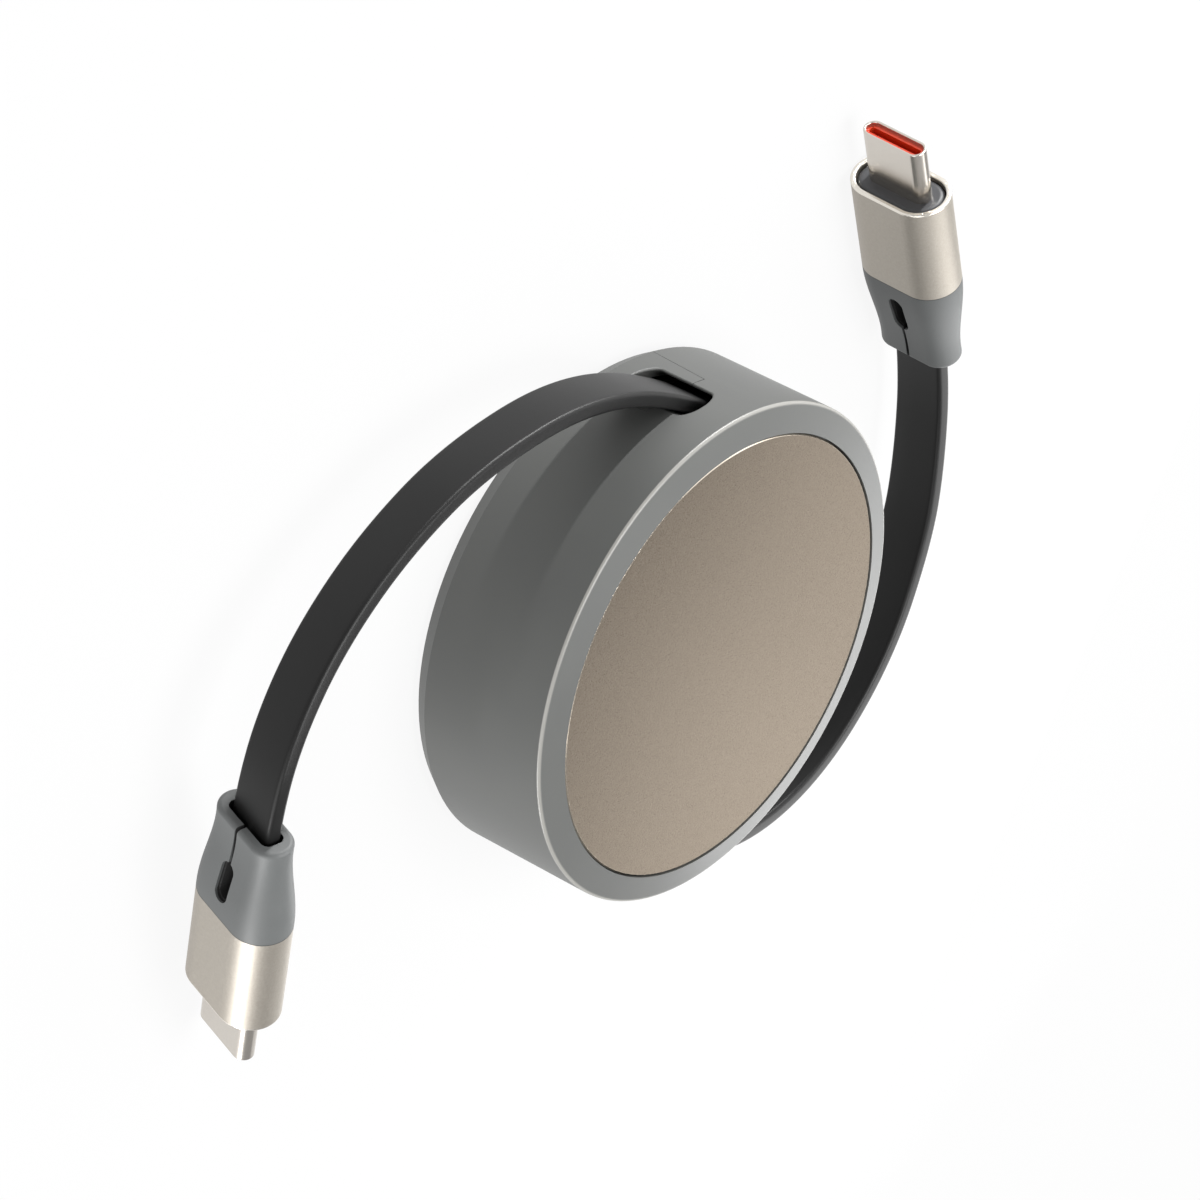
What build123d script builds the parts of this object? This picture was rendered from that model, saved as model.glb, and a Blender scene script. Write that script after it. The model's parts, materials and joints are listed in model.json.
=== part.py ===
from build123d import *
import os
from math import acos, atan2, cos, degrees, hypot, radians, sin, tan

# Retractable charging cable: a flat lead with a plug at each end, wound both ways on a sprung reel.
# Millimetres. The origin is the centre of the back face, +Z runs along the reel axis to the trim disc.
# Outlet A opens on +Y and outlet B on -Y. The reel pays out when it turns by the right hand about +Z.

# Housing
housing_radius = 29.0
housing_height = 18.5
wall = 1.6
back_plate = 1.6
back_bevel_width = 1.1
back_bevel_height = 1.8
front_plate = 1.2
ring_drop = 0.85
edge_round = 0.35
spigot_wall = 1.0
spigot_height = 1.1
spigot_clearance = 0.08

# Trim disc in the front
disc_radius = 25.6
disc_thickness = 0.8
disc_gap = 0.15
disc_sink = 0.1
disc_chamfer = 0.15
tape_thickness = 0.15
tape_margin = 1.2

# Flat cable
cable_width = 6.5
cable_thickness = 1.9
cable_corner = 0.5

# Cable outlets, each closed by a tongue of the back cover
outlet_clearance = 0.42
outlet_end_clearance = 1.4
outlet_lip_round = 0.2
tongue_foot_half = 5.5
tongue_top_half = 4.8
tongue_reach = 7.7
seam_gap = 0.06

# Reel
reel_clearance = 0.45
flange_thickness = 0.8
track_depth = 1.0
cable_room = 0.3
hub_radius = 9.15
turn_gap = 0.025
half_turns = 7
entry_bend = 3.5
channel_clearance = 0.12
bearing_radius = 3.5
bearing_length = 1.3
running_clearance = 0.06
pad_radius = 6.6
washer_thickness = 0.2
axial_play = 0.1

# Spring barrel and power spring
barrel_plate = 0.7
barrel_radius = 15.4
barrel_wall = 1.0
barrel_top_play = 0.25
spring_thickness = 0.3
spring_half_turns = 16
spring_rim_gap = 0.15
spring_inner_radius = 2.9
spring_side_play = 0.15
spring_hook = 0.7
post_radius = 2.5
post_collar_radius = 3.4
post_slot_width = 0.5
spring_slit = 0.5

# Screws that hold the barrel on the spool
screw_circle = 5.6
screw_head_radius = 1.3
screw_head_height = 0.8
screw_head_room = 1.0
screw_shank_radius = 0.7
screw_length = 6.6
screw_clearance = 0.05
boss_radius = 1.5
boss_length = 4.0
driver_slot_width = 0.35
driver_slot_depth = 0.35

# Ratchet track and its pawl
track_inner_radius = 10.6
track_outer_radius = 14.2
notch_count = 3
notch_radius = 1.0
bump_radius = 0.5
follower_radius = 0.6
follower_lift = 1.05
pawl_pivot_angle = 265.0
pawl_pivot_offset = 14.5
follower_angle = 225.0
pawl_thickness = 0.9
pawl_gap = 0.25
pawl_wire_gap = 0.1
pivot_radius = 0.9
pivot_eye = 1.9
follower_eye = 1.1
nub_radius = 0.4
wire_diameter = 0.4
wire_clearance = 0.05
wire_leg = 5.5
stop_post_radius = 0.5

# Plug, along its own axis from the sleeve's mouth
tip_width = 8.25
tip_thickness = 2.4
tip_wall = 0.3
tip_reach = 6.9
tip_tail = 8.0
tip_edge_round = 0.12
core_sink = 0.45
core_tail = 4.0
core_slot_width = 6.9
contact_count = 12
contact_pitch = 0.5
contact_width = 0.26
contact_thickness = 0.12
contact_sink = 1.6
contact_tail = 3.5
board_thickness = 0.6
board_width = 6.5
board_front = 0.5
board_tail = 9.0
sleeve_width = 12.4
sleeve_thickness = 7.0
sleeve_length = 12.9
sleeve_wall = 0.62
sleeve_edge_round = 0.2
seat_sink = 0.3
seat_depth = 2.7
seat_round = 0.7
plug_fit = 0.05
boot_length = 11.9
boot_shoulder_width = 12.3
boot_shoulder_thickness = 6.9
boot_shoulder_at = 1.5
boot_waist_width = 10.5
boot_waist_thickness = 5.0
boot_waist_at = 8.3
boot_end_width = 10.35
boot_end_thickness = 4.85
boot_end_round = 0.5
pocket_gap = 0.35
pocket_depth = 4.6
pocket_play = 0.1
relief_width = 2.0
relief_length = 5.1
relief_step = 0.5
relief_rim = 0.2
relief_web = 1.2
slit_width = 0.4
slit_length = 4.75

# Where the two plugs lie: centre of the sleeve's mouth, heading, nose-down pitch, lean about the axis
plug_a_place = (-62.03, -18.08)
plug_a_heading = -84.1
plug_a_pitch = 10.5
plug_a_lean = 13.4
plug_b_place = (41.2, 37.13)
plug_b_heading = 108.4
plug_b_pitch = -1.0
plug_b_lean = -2.2
floor_gap = 0.05

# Free cable between outlet and boot, points chosen along its lie
corner_share = 0.45
stub_reach = 3.2
cable_a_points = [
    (-15.7, 35.2, 8.7),
    (-32.9, 34.5, 9.0),
    (-45.4, 30.3, 9.6),
    (-55.0, 24.3, 10.3),
    (-61.4, 17.3, 10.9),
]
cable_b_points = [
    (15.6, -35.7, 8.5),
    (30.7, -33.5, 8.0),
    (42.8, -23.6, 7.4),
    (48.9, -10.6, 6.8),
    (50.3, -1.5, 6.4),
]

# Heights that follow from the stack
ring_edge_z = housing_height - ring_drop
disc_top_z = housing_height - disc_sink
tape_top_z = disc_top_z - disc_thickness
recess_z = tape_top_z - tape_thickness
ceiling_z = recess_z - front_plate
wire_z = back_plate + wire_clearance + wire_diameter / 2
pawl_low_z = wire_z + wire_diameter / 2 + pawl_wire_gap
pawl_top_z = pawl_low_z + pawl_thickness
flange_under_z = pawl_top_z + pawl_gap
flange_web_z = flange_under_z + track_depth
flange_top_z = flange_web_z + flange_thickness
cable_low_z = flange_top_z + cable_room
cable_high_z = cable_low_z + cable_width
cable_z = (cable_low_z + cable_high_z) / 2
hub_top_z = cable_high_z + cable_room
barrel_floor_z = hub_top_z + barrel_plate
barrel_top_z = ceiling_z - barrel_top_play
washer_top_z = flange_under_z - axial_play
pad_z = washer_top_z - washer_thickness
bearing_top_z = flange_under_z + bearing_length

# Radii that follow from the housing and the winding
inner_radius = housing_radius - wall
flange_radius = inner_radius - reel_clearance
turn_pitch = 2 * (cable_thickness + turn_gap)
coil_start_radius = hub_radius + turn_gap + cable_thickness / 2
coil_end_radius = coil_start_radius + half_turns * turn_pitch / 2
coil_end_angle = 90 - degrees(acos(coil_end_radius / housing_radius))
spring_outer_radius = barrel_radius - barrel_wall - spring_rim_gap - spring_thickness / 2
spring_pitch = 2 * (spring_outer_radius - spring_inner_radius) / spring_half_turns


def polar(radius, angle):
    return Vector(radius * cos(radians(angle)), radius * sin(radians(angle)), 0)


def disc(radius, low, high, centre=(0, 0)):
    return Pos(centre[0], centre[1], low) * extrude(Circle(radius), high - low)


def ring(outer, inner, low, high):
    return Pos(0, 0, low) * extrude(Circle(outer) - Circle(inner), high - low)


def turned(points):
    return revolve(make_face(Polyline(*[(r, 0, z) for r, z in points], close=True)), Axis.Z)


def prism(sketch, low, high):
    return Pos(0, 0, low) * extrude(sketch, high - low)


def spiral(start_radius, pitch, count, end_angle):
    """Half circles on two centres, from the inner end to the outer end at end_angle."""
    edges = []
    for k in range(count):
        from_end = count - k
        side = 1 if from_end % 2 else -1
        radius = start_radius + k * pitch / 2 + pitch / 4
        centre = polar(side * pitch / 4, end_angle)
        edges.append(CenterArc(centre, radius, end_angle + (180 if side > 0 else 0), 180))
    return edges


def cord_length(points, radii):
    """Length of the runs less what each rounded corner saves."""
    total = sum((b - a).length for a, b in zip(points, points[1:]))
    for i, radius in enumerate(radii, start=1):
        turn = radians((points[i] - points[i - 1]).get_angle(points[i + 1] - points[i]))
        total -= 2 * radius * tan(turn / 2) - radius * turn
    return total


def corner_radii(points):
    """Each corner's arc takes the same share of the shorter of its two runs."""
    radii = []
    for before, here, after in zip(points, points[1:], points[2:]):
        run = min((here - before).length, (after - here).length)
        turn = radians((here - before).get_angle(after - here))
        radii.append(corner_share * run / tan(turn / 2))
    return radii


# Outlet A in plan: the cable comes straight off the coil and bends a little at the wall
coil_end = polar(coil_end_radius, coil_end_angle) + Vector(0, 0, cable_z)
outlet = Vector(0, housing_radius, cable_z)
run_in = (outlet - coil_end).normalized()
run_out = (Vector(*cable_a_points[0]) - outlet).normalized()
outlet_heading = Vector(run_in.X + run_out.X, run_in.Y + run_out.Y, 0).normalized()
outlet_radius = corner_radii([coil_end, outlet, Vector(*cable_a_points[0])])[0]
outlet_cut_short = outlet_radius / cos(radians(run_in.get_angle(run_out)) / 2) - outlet_radius
outlet_middle = outlet + (run_out - run_in).normalized() * outlet_cut_short


def outlet_cutter():
    across = Vector(0, 0, 1).cross(outlet_heading)
    inside = outlet_middle - outlet_heading * housing_radius / 4
    plane = Plane(origin=inside, x_dir=across, z_dir=outlet_heading)
    width = cable_width + 2 * outlet_end_clearance
    slot = SlotOverall(width, cable_thickness + 2 * outlet_clearance, rotation=90)
    return extrude(plane * slot, housing_radius / 2)


def tongue_prism(gap):
    """Tapered block on the +Y side that parts the back cover's tongue from the shell."""
    top = back_bevel_height + tongue_reach - gap
    foot = tongue_foot_half - gap
    head = tongue_top_half - gap
    face = make_face(Polyline((-foot, 0), (foot, 0), (foot, back_bevel_height), (head, top), (-head, top),
                              (-foot, back_bevel_height), close=True))
    return extrude(Plane.XZ.offset(-inner_radius / 2) * face, -housing_radius)


def both_outlets(solid):
    return solid + Rot(0, 0, 180) * solid


def housing_wall():
    """Side wall, front ring and front plate in one turning, with both outlets and their lips."""
    body = turned([
        (inner_radius, back_bevel_height),
        (housing_radius, back_bevel_height),
        (housing_radius, ring_edge_z),
        (disc_radius + disc_gap, housing_height),
        (disc_radius + disc_gap, recess_z),
        (post_radius, recess_z),
        (post_radius, ceiling_z),
        (inner_radius, ceiling_z),
    ])
    level = body.edges().filter_by_position(Axis.Z, ring_edge_z, ring_edge_z)
    body = fillet(level, edge_round)
    cutter = both_outlets(outlet_cutter())
    cut = body - cutter
    lips = [e for e in new_edges(body, cutter, combined=cut)
            if abs(hypot((e @ 0.5).X, (e @ 0.5).Y) - housing_radius) < 1e-3]
    return fillet(lips, outlet_lip_round)


def make_front_disc():
    plate = disc(disc_radius, tape_top_z, disc_top_z)
    return chamfer(plate.edges().group_by(Axis.Z)[-1], disc_chamfer)


def make_back_cover(walled):
    spigot_radius = inner_radius - spigot_clearance
    spigot_top = back_bevel_height + spigot_height
    cover = turned([
        (0, 0),
        (housing_radius - back_bevel_width, 0),
        (housing_radius, back_bevel_height),
        (spigot_radius, back_bevel_height),
        (spigot_radius, spigot_top),
        (spigot_radius - spigot_wall, spigot_top),
        (spigot_radius - spigot_wall, back_plate),
        (pad_radius, back_plate),
        (pad_radius, pad_z),
        (bearing_radius, pad_z),
        (bearing_radius, bearing_top_z),
        (0, bearing_top_z),
    ])
    tongues = walled & both_outlets(tongue_prism(seam_gap))
    pivot = polar(pawl_pivot_offset, pawl_pivot_angle)
    cover += tongues
    cover += disc(pivot_radius, back_plate, pawl_top_z + pawl_gap / 2, (pivot.X, pivot.Y))
    stop = wire_seat(1, stop_post_radius)
    cover += disc(stop_post_radius, back_plate, wire_z + wire_diameter / 2, (stop.X, stop.Y))
    return cover


def pawl_axes():
    pivot = polar(pawl_pivot_offset, pawl_pivot_angle)
    track_middle = (track_inner_radius + track_outer_radius) / 2 - bump_radius / 2
    follower = polar(track_middle, follower_angle)
    along = (follower - pivot).normalized()
    return pivot, follower, along, Vector(-along.Y, along.X, 0)


wire_bend = pivot_radius + wire_clearance + wire_diameter / 2


def wire_seat(side, radius):
    """Centre of a round post that the wire's leg on that side bears against."""
    pivot, follower, along, across = pawl_axes()
    reach = wire_bend + wire_diameter / 2 + wire_clearance + radius
    return pivot + along * (wire_leg - radius) + across * side * reach


def make_pawl():
    pivot, follower, along, across = pawl_axes()
    nub = wire_seat(-1, nub_radius)
    eyes = [(pivot, pivot_eye), (follower, follower_eye), (nub, 2 * nub_radius)]
    outline = Sketch() + [Pos(p.X, p.Y) * Circle(r) for p, r in eyes]
    lever = make_hull(outline.edges())
    lever -= Pos(pivot.X, pivot.Y) * Circle(pivot_radius + running_clearance)
    pawl = prism(lever, pawl_low_z, pawl_top_z)
    pawl += disc(follower_radius, pawl_top_z, pawl_top_z + follower_lift, (follower.X, follower.Y))
    pawl += disc(nub_radius, wire_z - wire_diameter / 2, pawl_low_z, (nub.X, nub.Y))
    return pawl


def make_pawl_spring():
    pivot, follower, along, across = pawl_axes()
    lift = Vector(0, 0, wire_z)
    near_a = pivot + across * wire_bend + lift
    near_b = pivot - across * wire_bend + lift
    back = pivot - along * wire_bend + lift
    leg_a = Line(near_a + along * wire_leg, near_a)
    bend = ThreePointArc(near_a, back, near_b)
    leg_b = Line(near_b, near_b + along * wire_leg)
    wire_end = Plane(origin=leg_a @ 0, z_dir=leg_a % 0) * Circle(wire_diameter / 2)
    return sweep(wire_end, path=Wire([leg_a, bend, leg_b]))


def winding_path():
    """The lead's middle: inner end of one winding, through the hub, to the inner end of the other."""
    half = ((coil_start_radius - entry_bend) ** 2 - entry_bend ** 2) ** 0.5
    offset = degrees(atan2(entry_bend, half))
    inner_angle = coil_end_angle + (180 if half_turns % 2 else 0)
    channel_angle = inner_angle - offset
    ends = []
    for turn in (0, 180):
        centre = polar(half, channel_angle + turn) + polar(entry_bend, channel_angle + turn + 90)
        ends.append(CenterArc(centre, entry_bend, channel_angle + turn - 90, 90 + offset))
    middle = Line(polar(-half, channel_angle), polar(half, channel_angle))
    return ends, middle, channel_angle


def make_wound_cable():
    ends, middle, channel_angle = winding_path()
    one = spiral(coil_start_radius, turn_pitch, half_turns, coil_end_angle)
    other = [Rot(0, 0, 180) * edge for edge in one]
    line = Curve() + [*one, *other, *ends, middle]
    flat = trace(line, cable_thickness)
    return prism(flat, cable_low_z, cable_high_z)


def screw_spots():
    ends, middle, channel_angle = winding_path()
    return [polar(screw_circle, channel_angle + 90), polar(screw_circle, channel_angle - 90)]


def make_spool():
    flange = disc(flange_radius, flange_under_z, flange_top_z)
    track = Circle(track_outer_radius) - Circle(track_inner_radius)
    track += PolarLocations(track_inner_radius, notch_count) * Circle(notch_radius)
    track -= PolarLocations(track_outer_radius, notch_count, 180 / notch_count) * Circle(bump_radius)
    spool = flange - prism(track, flange_under_z, flange_web_z)
    ends, middle, channel_angle = winding_path()
    channel = trace(Curve() + [*ends, middle], cable_thickness + 2 * channel_clearance)
    hub = Circle(hub_radius) - channel
    spool += prism(hub, flange_top_z, hub_top_z)
    spool -= disc(bearing_radius + running_clearance, flange_under_z, bearing_top_z + axial_play)
    for spot in screw_spots():
        at = (spot.X, spot.Y)
        seat_z = flange_under_z + screw_head_room
        boss_end_z = hub_top_z - boss_length - screw_clearance
        spool -= disc(screw_head_radius + screw_clearance, flange_under_z, seat_z, at)
        spool -= disc(screw_shank_radius + screw_clearance, seat_z, boss_end_z, at)
        spool -= disc(boss_radius + screw_clearance, boss_end_z, hub_top_z, at)
    return spool


def make_spool_screws():
    seat_z = flange_under_z + screw_head_room
    head_z = seat_z - screw_head_height
    screws = []
    for spot in screw_spots():
        at = (spot.X, spot.Y)
        screw = disc(screw_head_radius, head_z, seat_z, at)
        screw += disc(screw_shank_radius, seat_z, seat_z + screw_length, at)
        for turn in (0, 90):
            driver = Rectangle(2 * screw_shank_radius, driver_slot_width, rotation=turn)
            screw -= Pos(*at) * prism(driver, head_z, head_z + driver_slot_depth)
        screws.append(screw)
    return screws


def make_spring_barrel():
    barrel = disc(flange_radius, hub_top_z, barrel_floor_z)
    barrel += ring(barrel_radius, barrel_radius - barrel_wall, barrel_floor_z, barrel_top_z)
    for spot in screw_spots():
        at = (spot.X, spot.Y)
        barrel += disc(boss_radius, hub_top_z - boss_length, hub_top_z, at)
        barrel -= disc(screw_shank_radius, hub_top_z - boss_length, barrel_floor_z, at)
    barrel -= disc(post_radius + running_clearance, hub_top_z, barrel_floor_z)
    slit = Pos(barrel_radius, 0) * Rectangle(4 * barrel_wall, spring_slit)
    return barrel - prism(slit, barrel_floor_z, barrel_top_z)


def make_power_spring():
    coils = spiral(spring_inner_radius, spring_pitch, spring_half_turns, 0)
    tang = Line((spring_inner_radius, 0), (-post_radius / 2, 0))
    hook = Line((spring_outer_radius, 0), (spring_outer_radius + spring_hook + barrel_wall, 0))
    flat = trace(Curve() + [*coils, tang, hook], spring_thickness)
    return prism(flat, barrel_floor_z + spring_side_play, barrel_top_z - spring_side_play)


def make_spring_post():
    post = disc(post_radius, hub_top_z + axial_play, recess_z)
    post += disc(post_collar_radius, barrel_top_z, ceiling_z)
    slot = Pos(post_radius / 2, 0) * Rectangle(4 * post_radius, post_slot_width)
    return post - prism(slot, hub_top_z, barrel_top_z - spring_side_play / 2)


def section(width, thickness, at):
    """Stadium across the plug's axis at that distance from the sleeve's mouth, long way up."""
    return Plane.YZ.offset(at) * SlotOverall(width, thickness, rotation=90)


def bar(width, thickness, back, front):
    return extrude(section(width, thickness, back), front - back)


def block(width, thickness, back, front, corner):
    return extrude(Plane.YZ.offset(back) * RectangleRounded(thickness, width, corner), front - back)


def end_edges(solid, at):
    return [e for e in solid.edges() if abs(e.bounding_box().min.X - at) < 1e-4
            and abs(e.bounding_box().max.X - at) < 1e-4]


def boot_form(inset):
    """The boot's outside, drawn in by the inset all round."""
    stations = [
        (sleeve_width, sleeve_thickness, 0),
        (boot_shoulder_width, boot_shoulder_thickness, boot_shoulder_at),
        (boot_waist_width, boot_waist_thickness, boot_waist_at),
        (boot_end_width, boot_end_thickness, boot_length),
    ]
    return loft([section(w - 2 * inset, t - 2 * inset, -sleeve_length - at) for w, t, at in stations])


def make_boot():
    joint = -sleeve_length
    end = joint - boot_length
    boot = fillet(end_edges(boot_form(0), end), boot_end_round)
    inner_width = sleeve_width - 2 * sleeve_wall
    inner_thickness = sleeve_thickness - 2 * sleeve_wall
    spigot_front = -seat_sink - seat_depth - plug_fit
    boot += bar(inner_width - 2 * plug_fit, inner_thickness - 2 * plug_fit, joint, spigot_front)
    tail = -board_tail - plug_fit
    boot -= bar(tip_width + 2 * plug_fit, tip_thickness + 2 * plug_fit, tail, spigot_front)
    pocket_width = cable_width + 2 * pocket_gap
    pocket_thickness = cable_thickness + 2 * pocket_gap
    pocket_corner = cable_corner + pocket_gap
    boot -= block(pocket_width, pocket_thickness, end, end + pocket_depth, pocket_corner)
    stepped = boot_form(relief_step)
    for side in (1, -1):
        face = Plane(origin=(0, side * relief_web / 2, 0), x_dir=(1, 0, 0), z_dir=(0, side, 0))
        place = face * Pos(end + slit_length + relief_length / 2, 0)
        recess = place * SlotOverall(relief_length, relief_width)
        hole = place * SlotOverall(relief_length - 2 * relief_rim, relief_width - 2 * relief_rim)
        slit = face * Pos(end + slit_length / 2, 0) * Rectangle(slit_length + relief_width, slit_width)
        boot -= extrude(recess, sleeve_thickness) - stepped
        boot -= extrude(hole, sleeve_thickness)
        boot -= extrude(slit, sleeve_thickness)
    return boot


def make_plug():
    """The pieces of one plug, along +X from the sleeve's mouth, width along Z."""
    inner_width = sleeve_width - 2 * sleeve_wall
    inner_thickness = sleeve_thickness - 2 * sleeve_wall
    cavity_width = tip_width - 2 * tip_wall
    cavity_thickness = tip_thickness - 2 * tip_wall
    shell = bar(tip_width, tip_thickness, -tip_tail, tip_reach)
    shell -= bar(cavity_width, cavity_thickness, -tip_tail, tip_reach)
    shell = fillet(end_edges(shell, tip_reach), tip_edge_round)
    core_slot = board_thickness + 2 * contact_thickness
    core = bar(cavity_width, cavity_thickness, -core_tail, tip_reach - core_sink)
    core -= block(core_slot_width, core_slot, -core_tail, tip_reach, core_slot / 3)
    contacts = []
    span = tip_reach - core_sink - contact_sink + contact_tail
    middle = (tip_reach - core_sink - contact_sink - contact_tail) / 2
    for side in (1, -1):
        for k in range(contact_count):
            z = (k - (contact_count - 1) / 2) * contact_pitch
            y = side * (board_thickness + contact_thickness) / 2
            contacts.append(Pos(middle, y, z) * Box(span, contact_thickness, contact_width))
    board_length = board_tail - board_front
    board = Pos(-board_front - board_length / 2, 0, 0) * Box(board_length, board_thickness, board_width)
    seat_front = -seat_sink
    seat_back = seat_front - seat_depth
    seat = bar(inner_width - 2 * plug_fit, inner_thickness - 2 * plug_fit, seat_back, seat_front)
    seat = fillet(end_edges(seat, seat_front), seat_round)
    seat -= bar(tip_width, tip_thickness, seat_back, seat_front)
    sleeve = bar(sleeve_width, sleeve_thickness, -sleeve_length, 0)
    sleeve -= bar(inner_width, inner_thickness, -sleeve_length, 0)
    sleeve = fillet(end_edges(sleeve, 0), sleeve_edge_round)
    return {
        "tip_shell": shell,
        "core": core,
        "contacts": contacts,
        "board": board,
        "seat": seat,
        "sleeve": sleeve,
        "boot": make_boot(),
    }


def plug_plane(place, heading, pitch, lean):
    """Plug axes where it lies: the lowest edge of the sleeve's mouth or joint stands on the floor."""
    axis = polar(cos(radians(pitch)), heading) - Vector(0, 0, sin(radians(pitch)))
    upright = polar(sin(radians(pitch)), heading) + Vector(0, 0, cos(radians(pitch)))
    side = axis.cross(upright)
    up = upright * cos(radians(lean)) + side * sin(radians(lean))
    round_centre = (sleeve_width - sleeve_thickness) / 2
    height = round_centre * up.Z + sleeve_thickness / 2 * hypot(up.Z, axis.cross(up).Z)
    height += sleeve_length * max(0, axis.Z) + floor_gap
    return Plane(origin=(place[0], place[1], height), x_dir=axis, z_dir=up)


def make_free_cable(points, plug_up):
    """Flat lead along its route: upright at the reel, leaning with its plug at the boot."""
    radii = corner_radii(points)
    path = FilletPolyline(*points, radius=radii)
    flat = RectangleRounded(cable_thickness, cable_width, cable_corner)
    start = (points[1] - points[0]).normalized()
    finish = (points[-1] - points[-2]).normalized()
    upright = Plane(origin=points[0], x_dir=Vector(0, 0, 1).cross(start), z_dir=start)
    leaning = Plane(origin=points[-1], x_dir=plug_up.cross(finish), z_dir=finish)
    cable = sweep([upright * flat, leaning * flat], path=path, multisection=True)
    return cable, radii, cord_length(points, radii), flat.area


def half_turn(v):
    return Vector(-v.X, -v.Y, v.Z)


walled = housing_wall()
nodes = {
    "front_shell": walled - both_outlets(tongue_prism(0)),
    "back_cover": make_back_cover(walled),
    "front_disc": make_front_disc(),
    "disc_tape": disc(disc_radius - tape_margin, recess_z, tape_top_z),
    "spring_post": make_spring_post(),
    "spool": make_spool(),
    "spring_barrel": make_spring_barrel(),
    "spool_screws": make_spool_screws(),
    "power_spring": make_power_spring(),
    "wound_cable": make_wound_cable(),
    "slip_washer": ring(pad_radius, bearing_radius + running_clearance, pad_z, washer_top_z),
    "pawl": make_pawl(),
    "pawl_spring": make_pawl_spring(),
}

plane_a = plug_plane(plug_a_place, plug_a_heading, plug_a_pitch, plug_a_lean)
plane_b = plug_plane(plug_b_place, plug_b_heading, plug_b_pitch, plug_b_lean)
plug = make_plug()
for letter, plane in (("a", plane_a), ("b", plane_b)):
    for name, piece in plug.items():
        solids = piece if isinstance(piece, list) else [piece]
        nodes[f"plug_{letter}_{name}"] = [plane * solid for solid in solids]

boot_end = -sleeve_length - boot_length
cable_foot = [Vector(boot_end - stub_reach, 0, 0), Vector(boot_end + pocket_depth - pocket_play, 0, 0)]
foot_a = [plane_a.from_local_coords(p) for p in cable_foot]
foot_b = [plane_b.from_local_coords(p) for p in cable_foot]
lie_a = [Vector(*p) for p in cable_a_points]
lie_b = [Vector(*p) for p in cable_b_points]
routes = {
    "cable_a": ([coil_end, outlet, *lie_a, *foot_a], plane_a),
    "cable_b": ([half_turn(coil_end), half_turn(outlet), *lie_b, *foot_b], plane_b),
}
for name, (points, plane) in routes.items():
    cable, radii, length, area = make_free_cable(points, plane.z_dir)
    nodes[name] = cable
    print(name, "radii", [round(r, 1) for r in radii], "length", round(length, 1),
          "volume", round(cable.volume, 1), "section times length", round(area * length, 1))

os.makedirs("parts", exist_ok=True)
for name, shape in nodes.items():
    pieces = shape if isinstance(shape, list) else [shape]
    solids = [solid for piece in pieces for solid in piece.solids()]
    export_step(Compound(children=solids), f"parts/{name}.step")
    print(name, len(solids), "solids, volume", round(sum(solid.volume for solid in solids), 1))
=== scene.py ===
import json
from math import cos, pi, radians, sin

import bmesh
import bpy
from mathutils import Matrix, Vector


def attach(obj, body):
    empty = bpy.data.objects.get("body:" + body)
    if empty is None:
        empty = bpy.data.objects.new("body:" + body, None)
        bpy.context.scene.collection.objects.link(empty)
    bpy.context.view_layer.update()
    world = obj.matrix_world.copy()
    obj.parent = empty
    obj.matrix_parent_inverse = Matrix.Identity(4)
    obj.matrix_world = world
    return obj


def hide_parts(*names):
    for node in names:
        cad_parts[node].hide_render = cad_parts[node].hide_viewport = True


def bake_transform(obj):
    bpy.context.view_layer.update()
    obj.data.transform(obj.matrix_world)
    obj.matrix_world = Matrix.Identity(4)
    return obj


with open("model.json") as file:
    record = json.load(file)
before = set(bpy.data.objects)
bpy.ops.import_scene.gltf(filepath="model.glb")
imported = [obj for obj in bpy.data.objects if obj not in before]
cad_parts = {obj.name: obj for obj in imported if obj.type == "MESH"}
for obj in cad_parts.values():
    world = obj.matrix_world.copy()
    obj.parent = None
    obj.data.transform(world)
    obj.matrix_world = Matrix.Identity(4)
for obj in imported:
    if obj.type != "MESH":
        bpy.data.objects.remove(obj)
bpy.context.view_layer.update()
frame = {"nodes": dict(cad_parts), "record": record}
mm = 0.001


# Colours are picked as screen values from 0 to 255 and turned into linear light here
def tone(red, green, blue):
    def linear(value):
        share = value / 255
        return share / 12.92 if share <= 0.04045 else ((share + 0.055) / 1.055) ** 2.4
    return (linear(red), linear(green), linear(blue), 1.0)


white = tone(255, 255, 255)


def newObject(name, data):
    made = bpy.data.objects.new(name, data)
    bpy.context.scene.collection.objects.link(made)
    return made


# The mesh that a carrier's curve or modifier makes; the carrier itself is taken away
def madeMesh(carrier):
    bpy.context.view_layer.update()
    evaluated = carrier.evaluated_get(bpy.context.evaluated_depsgraph_get())
    mesh = bpy.data.meshes.new_from_object(evaluated)
    bpy.data.objects.remove(carrier)
    return mesh


# One shader socket. Arithmetic on it adds Math nodes to its material
class Wire:
    def __init__(self, finish, socket):
        self.finish = finish
        self.socket = socket

    def math(self, operation, first, second=0.0, clamp=False):
        settings = {"operation": operation, "use_clamp": clamp}
        return self.finish.node("ShaderNodeMath", settings, {0: first, 1: second})

    def __add__(self, other):
        return self.math("ADD", self, other)

    def __radd__(self, other):
        return self.math("ADD", other, self)

    def __sub__(self, other):
        return self.math("SUBTRACT", self, other)

    def __rsub__(self, other):
        return self.math("SUBTRACT", other, self)

    def __mul__(self, other):
        return self.math("MULTIPLY", self, other)

    def __rmul__(self, other):
        return self.math("MULTIPLY", other, self)

    def __truediv__(self, other):
        return self.math("DIVIDE", self, other)

    def __rtruediv__(self, other):
        return self.math("DIVIDE", other, self)

    def clamped(self):
        return self.math("ADD", self, 0.0, clamp=True)

    def size(self):
        return self.math("ABSOLUTE", self)


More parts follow.
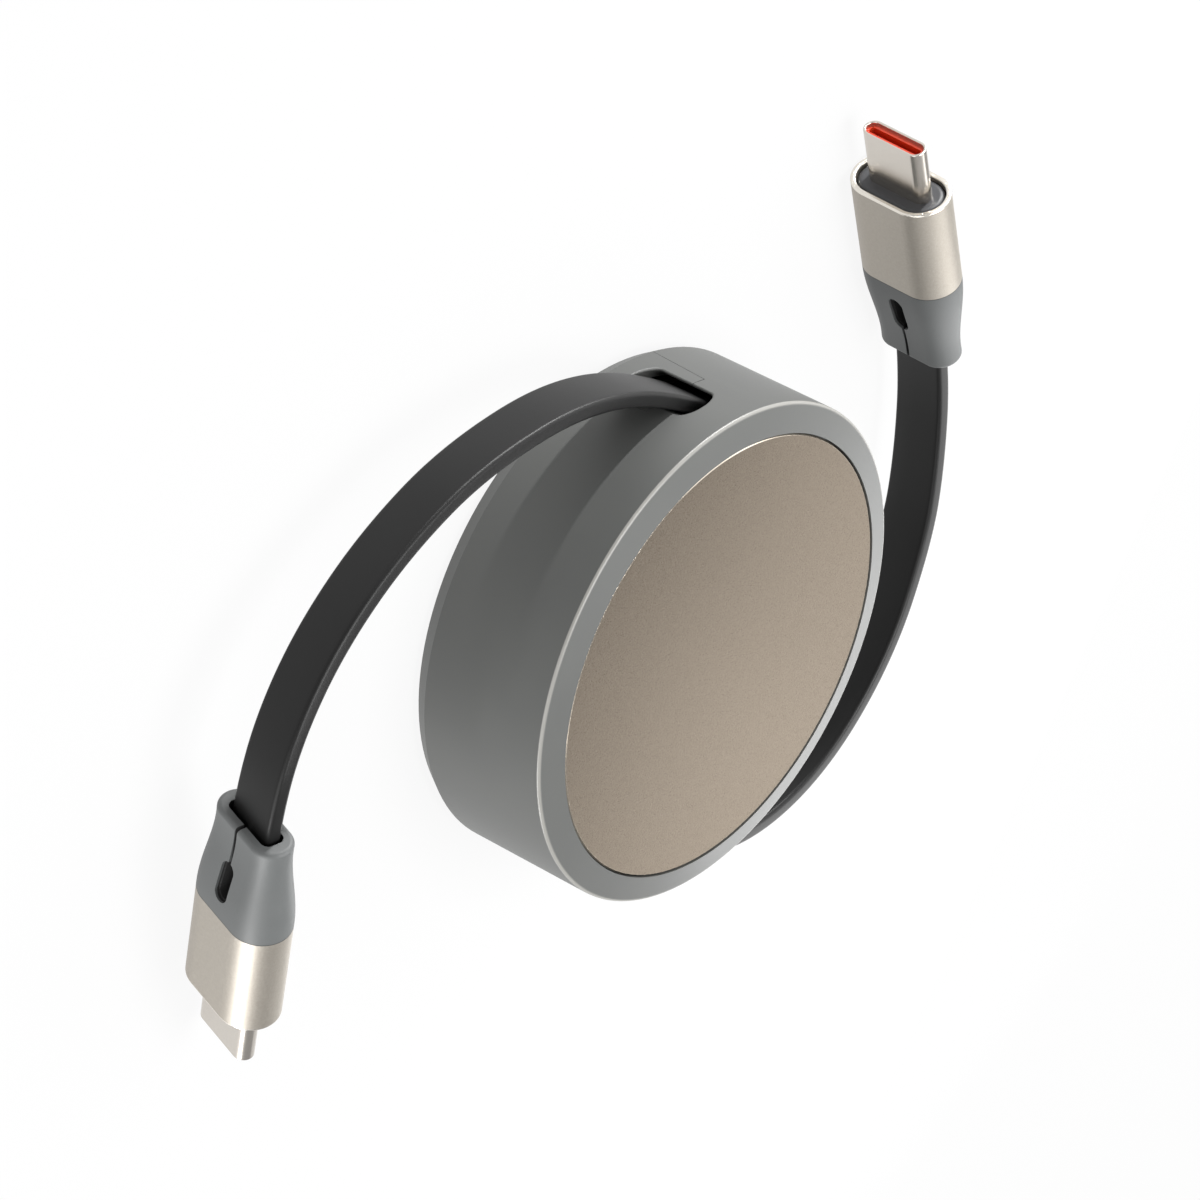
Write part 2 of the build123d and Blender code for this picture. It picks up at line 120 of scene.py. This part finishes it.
# A material with one Principled shader. The node method makes any other node and returns one of its outputs
class Finish:
    def __init__(self, name):
        self.material = bpy.data.materials.new(name)
        self.material.use_nodes = True
        self.tree = self.material.node_tree
        self.tree.nodes.clear()
        self.shader = self.tree.nodes.new("ShaderNodeBsdfPrincipled")
        output = self.tree.nodes.new("ShaderNodeOutputMaterial")
        self.tree.links.new(self.shader.outputs[0], output.inputs["Surface"])

    def feed(self, socket, value):
        if isinstance(value, Wire):
            self.tree.links.new(value.socket, socket)
        else:
            socket.default_value = value

    def node(self, kind, settings=None, inputs=None, output=0):
        made = self.tree.nodes.new(kind)
        for key, value in (settings or {}).items():
            setattr(made, key, value)
        for key, value in (inputs or {}).items():
            self.feed(made.inputs[key], value)
        return Wire(self, made.outputs[output])

    def surface(self, **inputs):
        for key, value in inputs.items():
            self.feed(self.shader.inputs[key.replace("_", " ")], value)
        return self.material

    # Object coordinates in millimetres, so every pattern size below is a real one
    def place(self):
        objectSpace = self.node("ShaderNodeTexCoord", output="Object")
        return self.node("ShaderNodeMapping", None, {"Vector": objectSpace, "Scale": [1.0 / mm] * 3})

    def noise(self, place, size, detail=2.0):
        inputs = {"Vector": place, "Scale": 1.0 / size, "Detail": detail}
        return self.node("ShaderNodeTexNoise", None, inputs, output="Fac")

    def cells(self, place, size):
        inputs = {"Vector": place, "Scale": 1.0 / size}
        return self.node("ShaderNodeTexVoronoi", None, inputs, output="Color")

    def mix(self, share, first, second):
        settings = {"data_type": "RGBA"}
        return self.node("ShaderNodeMix", settings, {"Factor": share, 6: first, 7: second}, output=2)

    def vector(self, operation, *inputs, output=0):
        return self.node("ShaderNodeVectorMath", {"operation": operation}, dict(enumerate(inputs)), output)

    # How far a place lies from the origin along an axis, in millimetres
    def along(self, place, origin, axis):
        apart = self.vector("SUBTRACT", place, origin)
        return self.vector("DOT_PRODUCT", apart, axis, output="Value")

    # How far a place lies from the reel's axis, in millimetres
    def radius(self, place):
        level = self.vector("MULTIPLY", place, (1.0, 1.0, 0.0))
        return self.vector("LENGTH", level, output="Value")

    # One where the value is over the edge, nought below, with a soft step between
    def over(self, value, edge, soft):
        return ((value - edge) / soft + 0.5).clamped()

    def under(self, value, edge, soft):
        return 1.0 - self.over(value, edge, soft)

    def bump(self, height, depth):
        return self.node("ShaderNodeBump", None, {"Height": height, "Distance": depth * mm})


# Camera: the photograph's own view, long lens, rolled
cameraView = {
    "location": (-0.43173, 0.34664, 0.33975),
    "right": (0.645686, 0.061128, 0.761153),
    "up": (0.375262, 0.842717, -0.386013),
    "lens": 180.0,
    "sensor": 36.0,
    "clipStart": 0.01,
}


def makeCamera(view):
    right = Vector(view["right"]).normalized()
    up = Vector(view["up"])
    up = (up - right * up.dot(right)).normalized()
    turn = Matrix((right, up, right.cross(up))).transposed()
    data = bpy.data.cameras.new("camera")
    data.lens = view["lens"]
    data.sensor_width = view["sensor"]
    data.clip_start = view["clipStart"]
    camera = newObject("camera", data)
    camera.matrix_world = Matrix.Translation(view["location"]) @ turn.to_4x4()
    bpy.context.scene.camera = camera


makeCamera(cameraView)
print("camera placed")


# Studio: white floor just under the object, an even sky and soft boxes round the object
studio = {
    "floorSize": 6.0,
    "floorDrop": 0.00005,
    "floorColor": tone(63, 63, 63),
    "floorRoughness": 0.9,
    "floorGlow": 0.90,
    "worldStrength": 0.40,
    "target": (-0.004, 0.0, 0.009),
    "lights": {
        # name: elevation and azimuth from the target, distance, width, height, power
        "top": (82, 60, 0.60, 0.40, 0.40, 4.8),
        "key": (22, 50, 0.60, 0.55, 0.55, 1.3),
        "right": (22, 15, 0.60, 0.55, 0.55, 1.2),
        "stripRight": (0, 60, 0.50, 0.30, 0.016, 3.2),
        "left": (20, 193, 0.60, 0.55, 0.55, 2.8),
        "stripBack": (0, 228, 0.50, 0.30, 0.016, 1.7),
        "discNear": (14, 327, 0.11, 0.10, 0.10, 0.090),
        "discFront": (22, 298, 0.13, 0.11, 0.11, 0.016),
    },
}


def makeFloor(settings):
    half = settings["floorSize"] / 2
    low = -settings["floorDrop"]
    corners = [(-half, -half, low), (half, -half, low), (half, half, low), (-half, half, low)]
    mesh = bpy.data.meshes.new("floor")
    mesh.from_pydata(corners, [], [(0, 1, 2, 3)])
    finish = Finish("floorWhite")
    mesh.materials.append(finish.surface(
        Base_Color=settings["floorColor"], Roughness=settings["floorRoughness"], Specular_IOR_Level=0.0,
        Emission_Color=white, Emission_Strength=settings["floorGlow"]))
    floor = newObject("floor", mesh)


def makeWorld(settings):
    world = bpy.data.worlds.new("studio")
    world.use_nodes = True
    background = world.node_tree.nodes["Background"]
    background.inputs["Color"].default_value = white
    background.inputs["Strength"].default_value = settings["worldStrength"]
    bpy.context.scene.world = world
    bpy.context.scene.view_settings.view_transform = "Standard"


def makeLight(name, target, elevation, azimuth, distance, width, height, power):
    light = bpy.data.lights.new(name, "AREA")
    light.shape = "RECTANGLE"
    light.size = width
    light.size_y = height
    light.energy = power
    level = cos(radians(elevation))
    turn = radians(azimuth)
    towards = Vector((level * cos(turn), level * sin(turn), sin(radians(elevation))))
    lamp = newObject(name, light)
    lamp.location = target + towards * distance
    lamp.rotation_euler = towards.to_track_quat("Z", "Y").to_euler()
    lamp.visible_camera = False


makeFloor(studio)
makeWorld(studio)
for name, light in studio["lights"].items():
    makeLight(name, Vector(studio["target"]), *light)
print("studio lit:", len(studio["lights"]), "soft boxes")


# Points along a smooth route, as Blender evaluates its spline
def splinePoints(name, controls, resolution):
    curve = bpy.data.curves.new(name, "CURVE")
    curve.dimensions = "3D"
    curve.resolution_u = resolution
    spline = curve.splines.new("NURBS")
    spline.points.add(len(controls) - 1)
    for point, place in zip(spline.points, controls):
        point.co = (*place, 1.0)
    spline.order_u = 3
    spline.use_endpoint_u = True
    mesh = madeMesh(newObject(name, curve))
    points = [vertex.co.copy() for vertex in mesh.vertices]
    bpy.data.curves.remove(curve)
    bpy.data.meshes.remove(mesh)
    return points


def smoothstep(share):
    share = min(1.0, max(0.0, share))
    return share * share * (3 - 2 * share)


# Flat lead: rounded section, upright at the reel and leaning with its plug at the boot
lead = {
    "width": 6.5,
    "thickness": 1.9,
    "corner": 0.5,
    "cornerSteps": 8,
    "crown": 0.05,
    "crownSteps": 8,
    "resolution": 16,
    "stiffness": "medium",
}
leadRoutes = {
    "a": {
        "points": [(13.70, 19.21, 8.65), (0.0, 29.0, 8.65), (-15.7, 35.2, 8.7), (-32.9, 34.5, 9.0),
                   (-45.4, 30.3, 9.6), (-55.0, 24.3, 10.3), (-61.4, 17.3, 10.9), (-64.86, 9.31, 11.18),
                   (-64.08, 1.77, 9.77)],
        "exit": (0.0, 29.0, 8.65),
        "lean": 13.4,
        "blendEnd": (-24.0, 35.6, 8.9),
    },
    "b": {
        "points": [(-13.70, -19.21, 8.65), (0.0, -29.0, 8.65), (15.6, -35.7, 8.5), (30.7, -33.5, 8.0),
                   (42.8, -23.6, 7.4), (48.9, -10.6, 6.8), (50.3, -1.5, 6.4), (50.04, 10.57, 5.98),
                   (47.61, 17.87, 6.12)],
        "exit": (0.0, -29.0, 8.65),
        "lean": -2.2,
        "blendEnd": (24.0, -35.0, 8.2),
    },
}
jacketLook = {
    "dark": tone(18, 18, 18),
    "pale": tone(23, 23, 23),
    "grain": 0.09,
    "grainDepth": 0.005,
    "clouds": 6.0,
    "rough": 0.34,
    "roughClouds": 0.08,
    "roughGrain": 0.06,
    "specular": 0.22,
}


# The section's outline, (across, along the width), from the middle of a broad face round both narrow edges
def leadSection(settings):
    halfT = settings["thickness"] / 2
    halfW = settings["width"] / 2
    corner = settings["corner"]
    flat = halfW - corner
    quarter = []
    for k in range(settings["crownSteps"] + 1):
        along = flat * k / settings["crownSteps"]
        quarter.append((halfT - settings["crown"] * (along / flat) ** 2, along))
    for k in range(1, settings["cornerSteps"] + 1):
        angle = pi / 2 * k / settings["cornerSteps"]
        across = halfT - settings["crown"] - corner + corner * cos(angle)
        quarter.append((across, flat + corner * sin(angle)))
    quarter.append((0.0, halfW))
    half = quarter + [(-across, along) for across, along in reversed(quarter[:-1])]
    return half + [(-across, -along) for across, along in half[1:-1]]


def makeLead(letter, route, settings, material):
    controls = [Vector(point) * mm for point in route["points"]]
    centres = splinePoints("leadRoute", controls, settings["resolution"])
    section = leadSection(settings)
    count = len(section)
    bm = bmesh.new()
    uvLayer = bm.loops.layers.uv.new("along")
    rings = []
    runs = [0.0]
    for before, after in zip(centres, centres[1:]):
        runs.append(runs[-1] + (after - before).length)
    for k, centre in enumerate(centres):
        ahead = centres[min(k + 1, len(centres) - 1)]
        behind = centres[max(k - 1, 0)]
        along = (ahead - behind).normalized()
        side = along.cross(Vector((0, 0, 1))).normalized()
        lean = radians(route["lean"]) * smoothstep(runs[k] / runs[-1])
        turn = Matrix.Rotation(lean, 3, along)
        up = turn @ side.cross(along)
        side = turn @ side
        rings.append([bm.verts.new(centre + (side * x + up * y) * mm) for x, y in section])
    for k in range(len(rings) - 1):
        for i in range(count):
            j = (i + 1) % count
            face = bm.faces.new((rings[k][i], rings[k][j], rings[k + 1][j], rings[k + 1][i]))
            face.smooth = True
            spots = ((i, k), (i + 1, k), (i + 1, k + 1), (i, k + 1))
            for loop, (around, row) in zip(face.loops, spots):
                loop[uvLayer].uv = (around / count, runs[row] / mm)
    bm.faces.new(list(reversed(rings[0])))
    bm.faces.new(rings[-1])
    bmesh.ops.recalc_face_normals(bm, faces=bm.faces)
    mesh = bpy.data.meshes.new(f"lead_{letter}")
    bm.to_mesh(mesh)
    bm.free()
    mesh.materials.append(material)
    piece = newObject(f"lead_{letter}", mesh)
    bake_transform(piece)
    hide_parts(f"cable_{letter}")
    return piece, centres, runs[-1]


def jacketBlack(look):
    finish = Finish("jacketBlack")
    place = finish.place()
    grain = finish.noise(place, look["grain"])
    clouds = finish.noise(place, look["clouds"], detail=3.0)
    color = finish.mix(clouds, look["dark"], look["pale"])
    rough = look["rough"] + look["roughClouds"] * clouds + look["roughGrain"] * grain
    return finish.surface(Base_Color=color, Roughness=rough, Specular_IOR_Level=look["specular"],
                          Normal=finish.bump(grain, look["grainDepth"]))


jacket = jacketBlack(jacketLook)
leads = {}
for letter, route in leadRoutes.items():
    leads[letter] = makeLead(letter, route, lead, jacket)
    print("lead", letter, "length", round(leads[letter][2] / mm, 1), "mm")


# Where each plug lies: the centre of its sleeve's mouth, its axis and which way its width points
plugLies = {
    "a": {"mouth": (-62.03, -18.08, 6.073), "axis": (0.101071, -0.978046, -0.182236),
          "up": (-0.2123, -0.2002, 0.9565)},
    "b": {"mouth": (41.2, 37.13, 6.473), "axis": (-0.315601, 0.948731, 0.017452),
          "up": (-0.0309, -0.0287, 0.9991)},
}

housingLook = {
    "dark": tone(76, 77, 76),
    "pale": tone(81, 82, 80),
    # edge: the colour of the painted highlight along the front ring's outer edge
    "edge": tone(128, 127, 123),
    "grain": 0.10,
    "grainDepth": 0.004,
    "clouds": 9.0,
    "highlightLow": 17.42,
    "highlightHigh": 17.72,
    "highlightRadius": 28.62,
    "highlightSoft": 0.06,
    "rough": 0.42,
    "roughClouds": 0.08,
    "highlightPolish": 0.12,
    "specular": 0.4,
}


# Grey moulding with a painted highlight: a paler, less rough band along the outer edge of its front ring
def housingGrey(look):
    finish = Finish("housingGrey")
    place = finish.place()
    grain = finish.noise(place, look["grain"])
    clouds = finish.noise(place, look["clouds"], detail=3.0)
    radius = finish.radius(place)
    height = finish.along(place, (0.0, 0.0, 0.0), (0.0, 0.0, 1.0))
    soft = look["highlightSoft"]
    # Painted highlight: the band along the ring's outer edge, by height and radius
    edge = finish.over(height, look["highlightLow"], soft) * finish.under(height, look["highlightHigh"], soft)
    edge = edge * finish.over(radius, look["highlightRadius"], soft)
    color = finish.mix(edge, finish.mix(clouds, look["dark"], look["pale"]), look["edge"])
    rough = look["rough"] + look["roughClouds"] * clouds - look["highlightPolish"] * edge
    return finish.surface(Base_Color=color, Roughness=rough, Specular_IOR_Level=look["specular"],
                          Normal=finish.bump(grain, look["grainDepth"]))


discLook = {
    "dark": tone(96, 88, 79),
    "pale": tone(112, 104, 94),
    "grazing": tone(212, 209, 205),
    "rim": tone(196, 187, 174),
    "flake": 0.13,
    "flakeDepth": 0.006,
    "grain": 0.13,
    "grainMiddle": 0.5,
    "grainSoft": 0.35,
    "rimRadius": 25.44,
    "rimSoft": 0.03,
    "rough": 0.27,
    "roughGrain": 0.07,
    "rimPolish": 0.5,
}


# Blasted metal disc with a polished rim, kept from turning white at a grazing view
def trimChampagne(look):
    finish = Finish("trimChampagne")
    place = finish.place()
    flake = finish.cells(place, look["flake"])
    speckle = finish.noise(place, look["grain"], detail=3.0)
    grain = finish.over(speckle, look["grainMiddle"], look["grainSoft"])
    rim = finish.over(finish.radius(place), look["rimRadius"], look["rimSoft"])
    color = finish.mix(rim, finish.mix(grain, look["dark"], look["pale"]), look["rim"])
    rough = (look["rough"] + look["roughGrain"] * grain) * (1.0 - look["rimPolish"] * rim)
    return finish.surface(Base_Color=color, Metallic=1.0, Roughness=rough, Specular_Tint=look["grazing"],
                          Normal=finish.bump(flake, look["flakeDepth"]))


sleeveLook = {
    "dark": tone(160, 154, 145),
    "pale": tone(180, 174, 165),
    "rim": tone(226, 221, 212),
    "joint": tone(30, 30, 31),
    "blast": 0.14,
    "blastDepth": 0.006,
    "grain": 0.28,
    "length": 12.9,
    "rimDepth": 0.24,
    "rimSoft": 0.05,
    "jointGap": 0.10,
    "jointSoft": 0.04,
    "rough": 0.46,
    "roughGrain": 0.10,
    "rimPolish": 0.26,
}


# Blasted sleeve, polished on its mouth's rim, with a dark joint line where it meets the boot
def sleeveChampagne(letter, lie, look):
    finish = Finish(f"sleeveChampagne{letter.upper()}")
    place = finish.place()
    blast = finish.cells(place, look["blast"])
    grain = finish.noise(place, look["grain"], detail=3.0)
    depth = finish.along(place, lie["mouth"], lie["axis"])
    rim = finish.over(depth, -look["rimDepth"], look["rimSoft"])
    joint = finish.under(depth, look["jointGap"] - look["length"], look["jointSoft"])
    color = finish.mix(rim, finish.mix(grain, look["dark"], look["pale"]), look["rim"])
    color = finish.mix(joint, color, look["joint"])
    rough = look["rough"] + look["roughGrain"] * grain - look["rimPolish"] * rim
    return finish.surface(Base_Color=color, Metallic=1.0 - joint, Roughness=rough,
                          Normal=finish.bump(blast, look["blastDepth"]))


bootLook = {
    "dark": tone(76, 78, 78),
    "pale": tone(86, 88, 88),
    # The colour of the painted shade inside the slit, relief and pocket
    "inside": tone(16, 16, 16),
    "grain": 0.12,
    "grainDepth": 0.005,
    "clouds": 5.0,
    "end": -24.8,
    "reliefStart": 4.6,
    "reliefEnd": 10.0,
    "reliefHalf": 1.06,
    "wallAtStart": 2.28,
    "wallSlope": 0.17,
    "slitHalf": 0.22,
    "slitOverlap": 1.0,
    "pocketStart": 0.1,
    "pocketHalf": 1.33,
    "pocketWide": 3.64,
    "softEnd": 0.1,
    "softSide": 0.02,
    "rough": 0.50,
    "roughClouds": 0.08,
    "roughInside": 0.2,
}


# Grey boot with painted shade: its slit, oblong relief and pocket are coloured dark inside, where shade
# falls
def bootGrey(letter, lie, look):
    finish = Finish(f"bootGrey{letter.upper()}")
    place = finish.place()
    grain = finish.noise(place, look["grain"])
    clouds = finish.noise(place, look["clouds"], detail=3.0)
    up = Vector(lie["up"])
    side = Vector(lie["axis"]).cross(up)
    forward = finish.along(place, lie["mouth"], lie["axis"]) - look["end"]
    across = finish.along(place, lie["mouth"], side).size()
    width = finish.along(place, lie["mouth"], up).size()
    softEnd, softSide = look["softEnd"], look["softSide"]
    wall = look["wallAtStart"] + look["wallSlope"] * (forward - look["reliefStart"])
    relief = finish.over(forward, look["reliefStart"], softEnd)
    relief = relief * finish.under(forward, look["reliefEnd"], softEnd)
    relief = relief * finish.under(width, look["reliefHalf"], softSide) * finish.under(across, wall, softEnd)
    slit = finish.under(forward, look["reliefStart"] + look["slitOverlap"], softEnd)
    slit = slit * finish.under(width, look["slitHalf"], softSide)
    slit = slit * finish.under(across, look["wallAtStart"], softEnd)
    pocket = finish.over(forward, look["pocketStart"], softEnd)
    pocket = pocket * finish.under(across, look["pocketHalf"], softSide)
    pocket = pocket * finish.under(width, look["pocketWide"], softSide)
    # Painted shade: the dark colour in the slit, relief and pocket, where shade falls
    inside = (relief + slit + pocket).clamped()
    color = finish.mix(inside, finish.mix(clouds, look["dark"], look["pale"]), look["inside"])
    rough = look["rough"] + look["roughClouds"] * clouds + look["roughInside"] * inside
    return finish.surface(Base_Color=color, Roughness=rough, Normal=finish.bump(grain, look["grainDepth"]))


plainLook = {"grain": 0.3, "shade": 0.9}


def plain(name, color, roughness, metallic=0.0):
    finish = Finish(name)
    place = finish.place()
    grain = finish.noise(place, plainLook["grain"])
    dark = tuple(plainLook["shade"] * share for share in color[:3]) + (1.0,)
    return finish.surface(Base_Color=finish.mix(grain, dark, color), Metallic=metallic, Roughness=roughness)


# By material slot, and by node for the sleeves and boots, whose marks follow their own plug
nodeFinishes = {
    "housing_grey": housingGrey(housingLook),
    "trim_champagne": trimChampagne(discLook),
    "tape_foam": plain("tapeFoam", tone(40, 40, 40), 0.9),
    "reel_plastic": plain("reelDark", tone(40, 36, 33), 0.5),
    "washer_plastic": plain("washerSlip", tone(232, 232, 228), 0.35),
    "pawl_plastic": plain("pawlBlack", tone(52, 52, 54), 0.4),
    "screw_steel": plain("screwZinc", tone(190, 190, 192), 0.3, 1.0),
    "spring_steel": plain("springBlue", tone(120, 124, 132), 0.3, 1.0),
    "cable_jacket": jacket,
    "plug_nickel": plain("tipNickel", tone(208, 202, 194), 0.26, 1.0),
    "core_orange": plain("coreOrange", tone(190, 52, 22), 0.3),
    "contact_gold": plain("contactGold", tone(224, 190, 120), 0.3, 1.0),
    "board_green": plain("boardGreen", tone(40, 96, 62), 0.4),
    "seat_dark": plain("seatDark", tone(52, 53, 56), 0.45),
}
for letter, lie in plugLies.items():
    nodeFinishes[f"plug_{letter}_sleeve"] = sleeveChampagne(letter, lie, sleeveLook)
    nodeFinishes[f"plug_{letter}_boot"] = bootGrey(letter, lie, bootLook)
for part in frame["record"]["subparts"]:
    node = frame["nodes"][part["node"]]
    node.data.materials.clear()
    finish = nodeFinishes.get(part["node"]) or nodeFinishes[part["material_slot"]]
    node.data.materials.append(finish)


# Two rows of contact blades on each plug's inner tongue, whose middle stands out of the sleeve's mouth
contacts = {
    "Count": 12,
    "Pitch": 0.5,
    "Row Gap": 0.72,
    "Thickness": 0.12,
    "Width": 0.26,
    "Length": 8.35,
    "rows": 2,
    "middle": 0.675,
}


def contactTree(settings, material):
    tree = bpy.data.node_groups.new("contactRows", "GeometryNodeTree")
    for name in ("Count", "Pitch", "Row Gap", "Thickness", "Width", "Length"):
        kind = "NodeSocketInt" if name == "Count" else "NodeSocketFloat"
        tree.interface.new_socket(name, in_out="INPUT", socket_type=kind)
    tree.interface.new_socket("Geometry", in_out="OUTPUT", socket_type="NodeSocketGeometry")

    def add(kind, **options):
        node = tree.nodes.new(kind)
        for key, value in options.items():
            setattr(node, key, value)
        return node

    given = add("NodeGroupInput")
    gaps = add("ShaderNodeMath", operation="SUBTRACT")
    span = add("ShaderNodeMath", operation="MULTIPLY")
    grid = add("GeometryNodeMeshGrid")
    size = add("ShaderNodeCombineXYZ")
    blade = add("GeometryNodeMeshCube")
    rows = add("GeometryNodeInstanceOnPoints")
    real = add("GeometryNodeRealizeInstances")
    dress = add("GeometryNodeSetMaterial")
    result = add("NodeGroupOutput")
    gaps.inputs[1].default_value = 1.0
    grid.inputs["Vertices X"].default_value = settings["rows"]
    dress.inputs["Material"].default_value = material
    for source, target in (
        (given.outputs["Count"], gaps.inputs[0]),
        (gaps.outputs[0], span.inputs[0]),
        (given.outputs["Pitch"], span.inputs[1]),
        (given.outputs["Row Gap"], grid.inputs["Size X"]),
        (span.outputs[0], grid.inputs["Size Y"]),
        (given.outputs["Count"], grid.inputs["Vertices Y"]),
        (given.outputs["Thickness"], size.inputs["X"]),
        (given.outputs["Width"], size.inputs["Y"]),
        (given.outputs["Length"], size.inputs["Z"]),
        (size.outputs[0], blade.inputs["Size"]),
        (grid.outputs["Mesh"], rows.inputs["Points"]),
        (blade.outputs["Mesh"], rows.inputs["Instance"]),
        (rows.outputs["Instances"], real.inputs["Geometry"]),
        (real.outputs["Geometry"], dress.inputs["Geometry"]),
        (dress.outputs["Geometry"], result.inputs["Geometry"]),
    ):
        tree.links.new(source, target)
    return tree


def makeContacts(letter, lie, settings, tree):
    carrier = newObject("contactCarrier", bpy.data.meshes.new("contactCarrier"))
    rows = carrier.modifiers.new("contactRows", "NODES")
    rows.node_group = tree
    for item in tree.interface.items_tree:
        if item.in_out == "INPUT":
            rows[item.identifier] = settings[item.name]
    mesh = madeMesh(carrier)
    axis = Vector(lie["axis"])
    up = Vector(lie["up"])
    place = Vector(lie["mouth"]) + axis * settings["middle"]
    turn = Matrix((up.cross(axis), up, axis)).transposed().to_4x4()
    mesh.transform(Matrix.Scale(mm, 4) @ Matrix.Translation(place) @ turn)
    mesh.name = f"contacts_{letter}"
    piece = newObject(f"contacts_{letter}", mesh)
    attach(piece, f"plug_{letter}")
    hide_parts(f"plug_{letter}_contacts")
    return piece


contactRows = contactTree(contacts, nodeFinishes["contact_gold"])
blades = {letter: makeContacts(letter, lie, contacts, contactRows) for letter, lie in plugLies.items()}
print("contact rows:", len(blades["a"].data.polygons), "faces a plug")
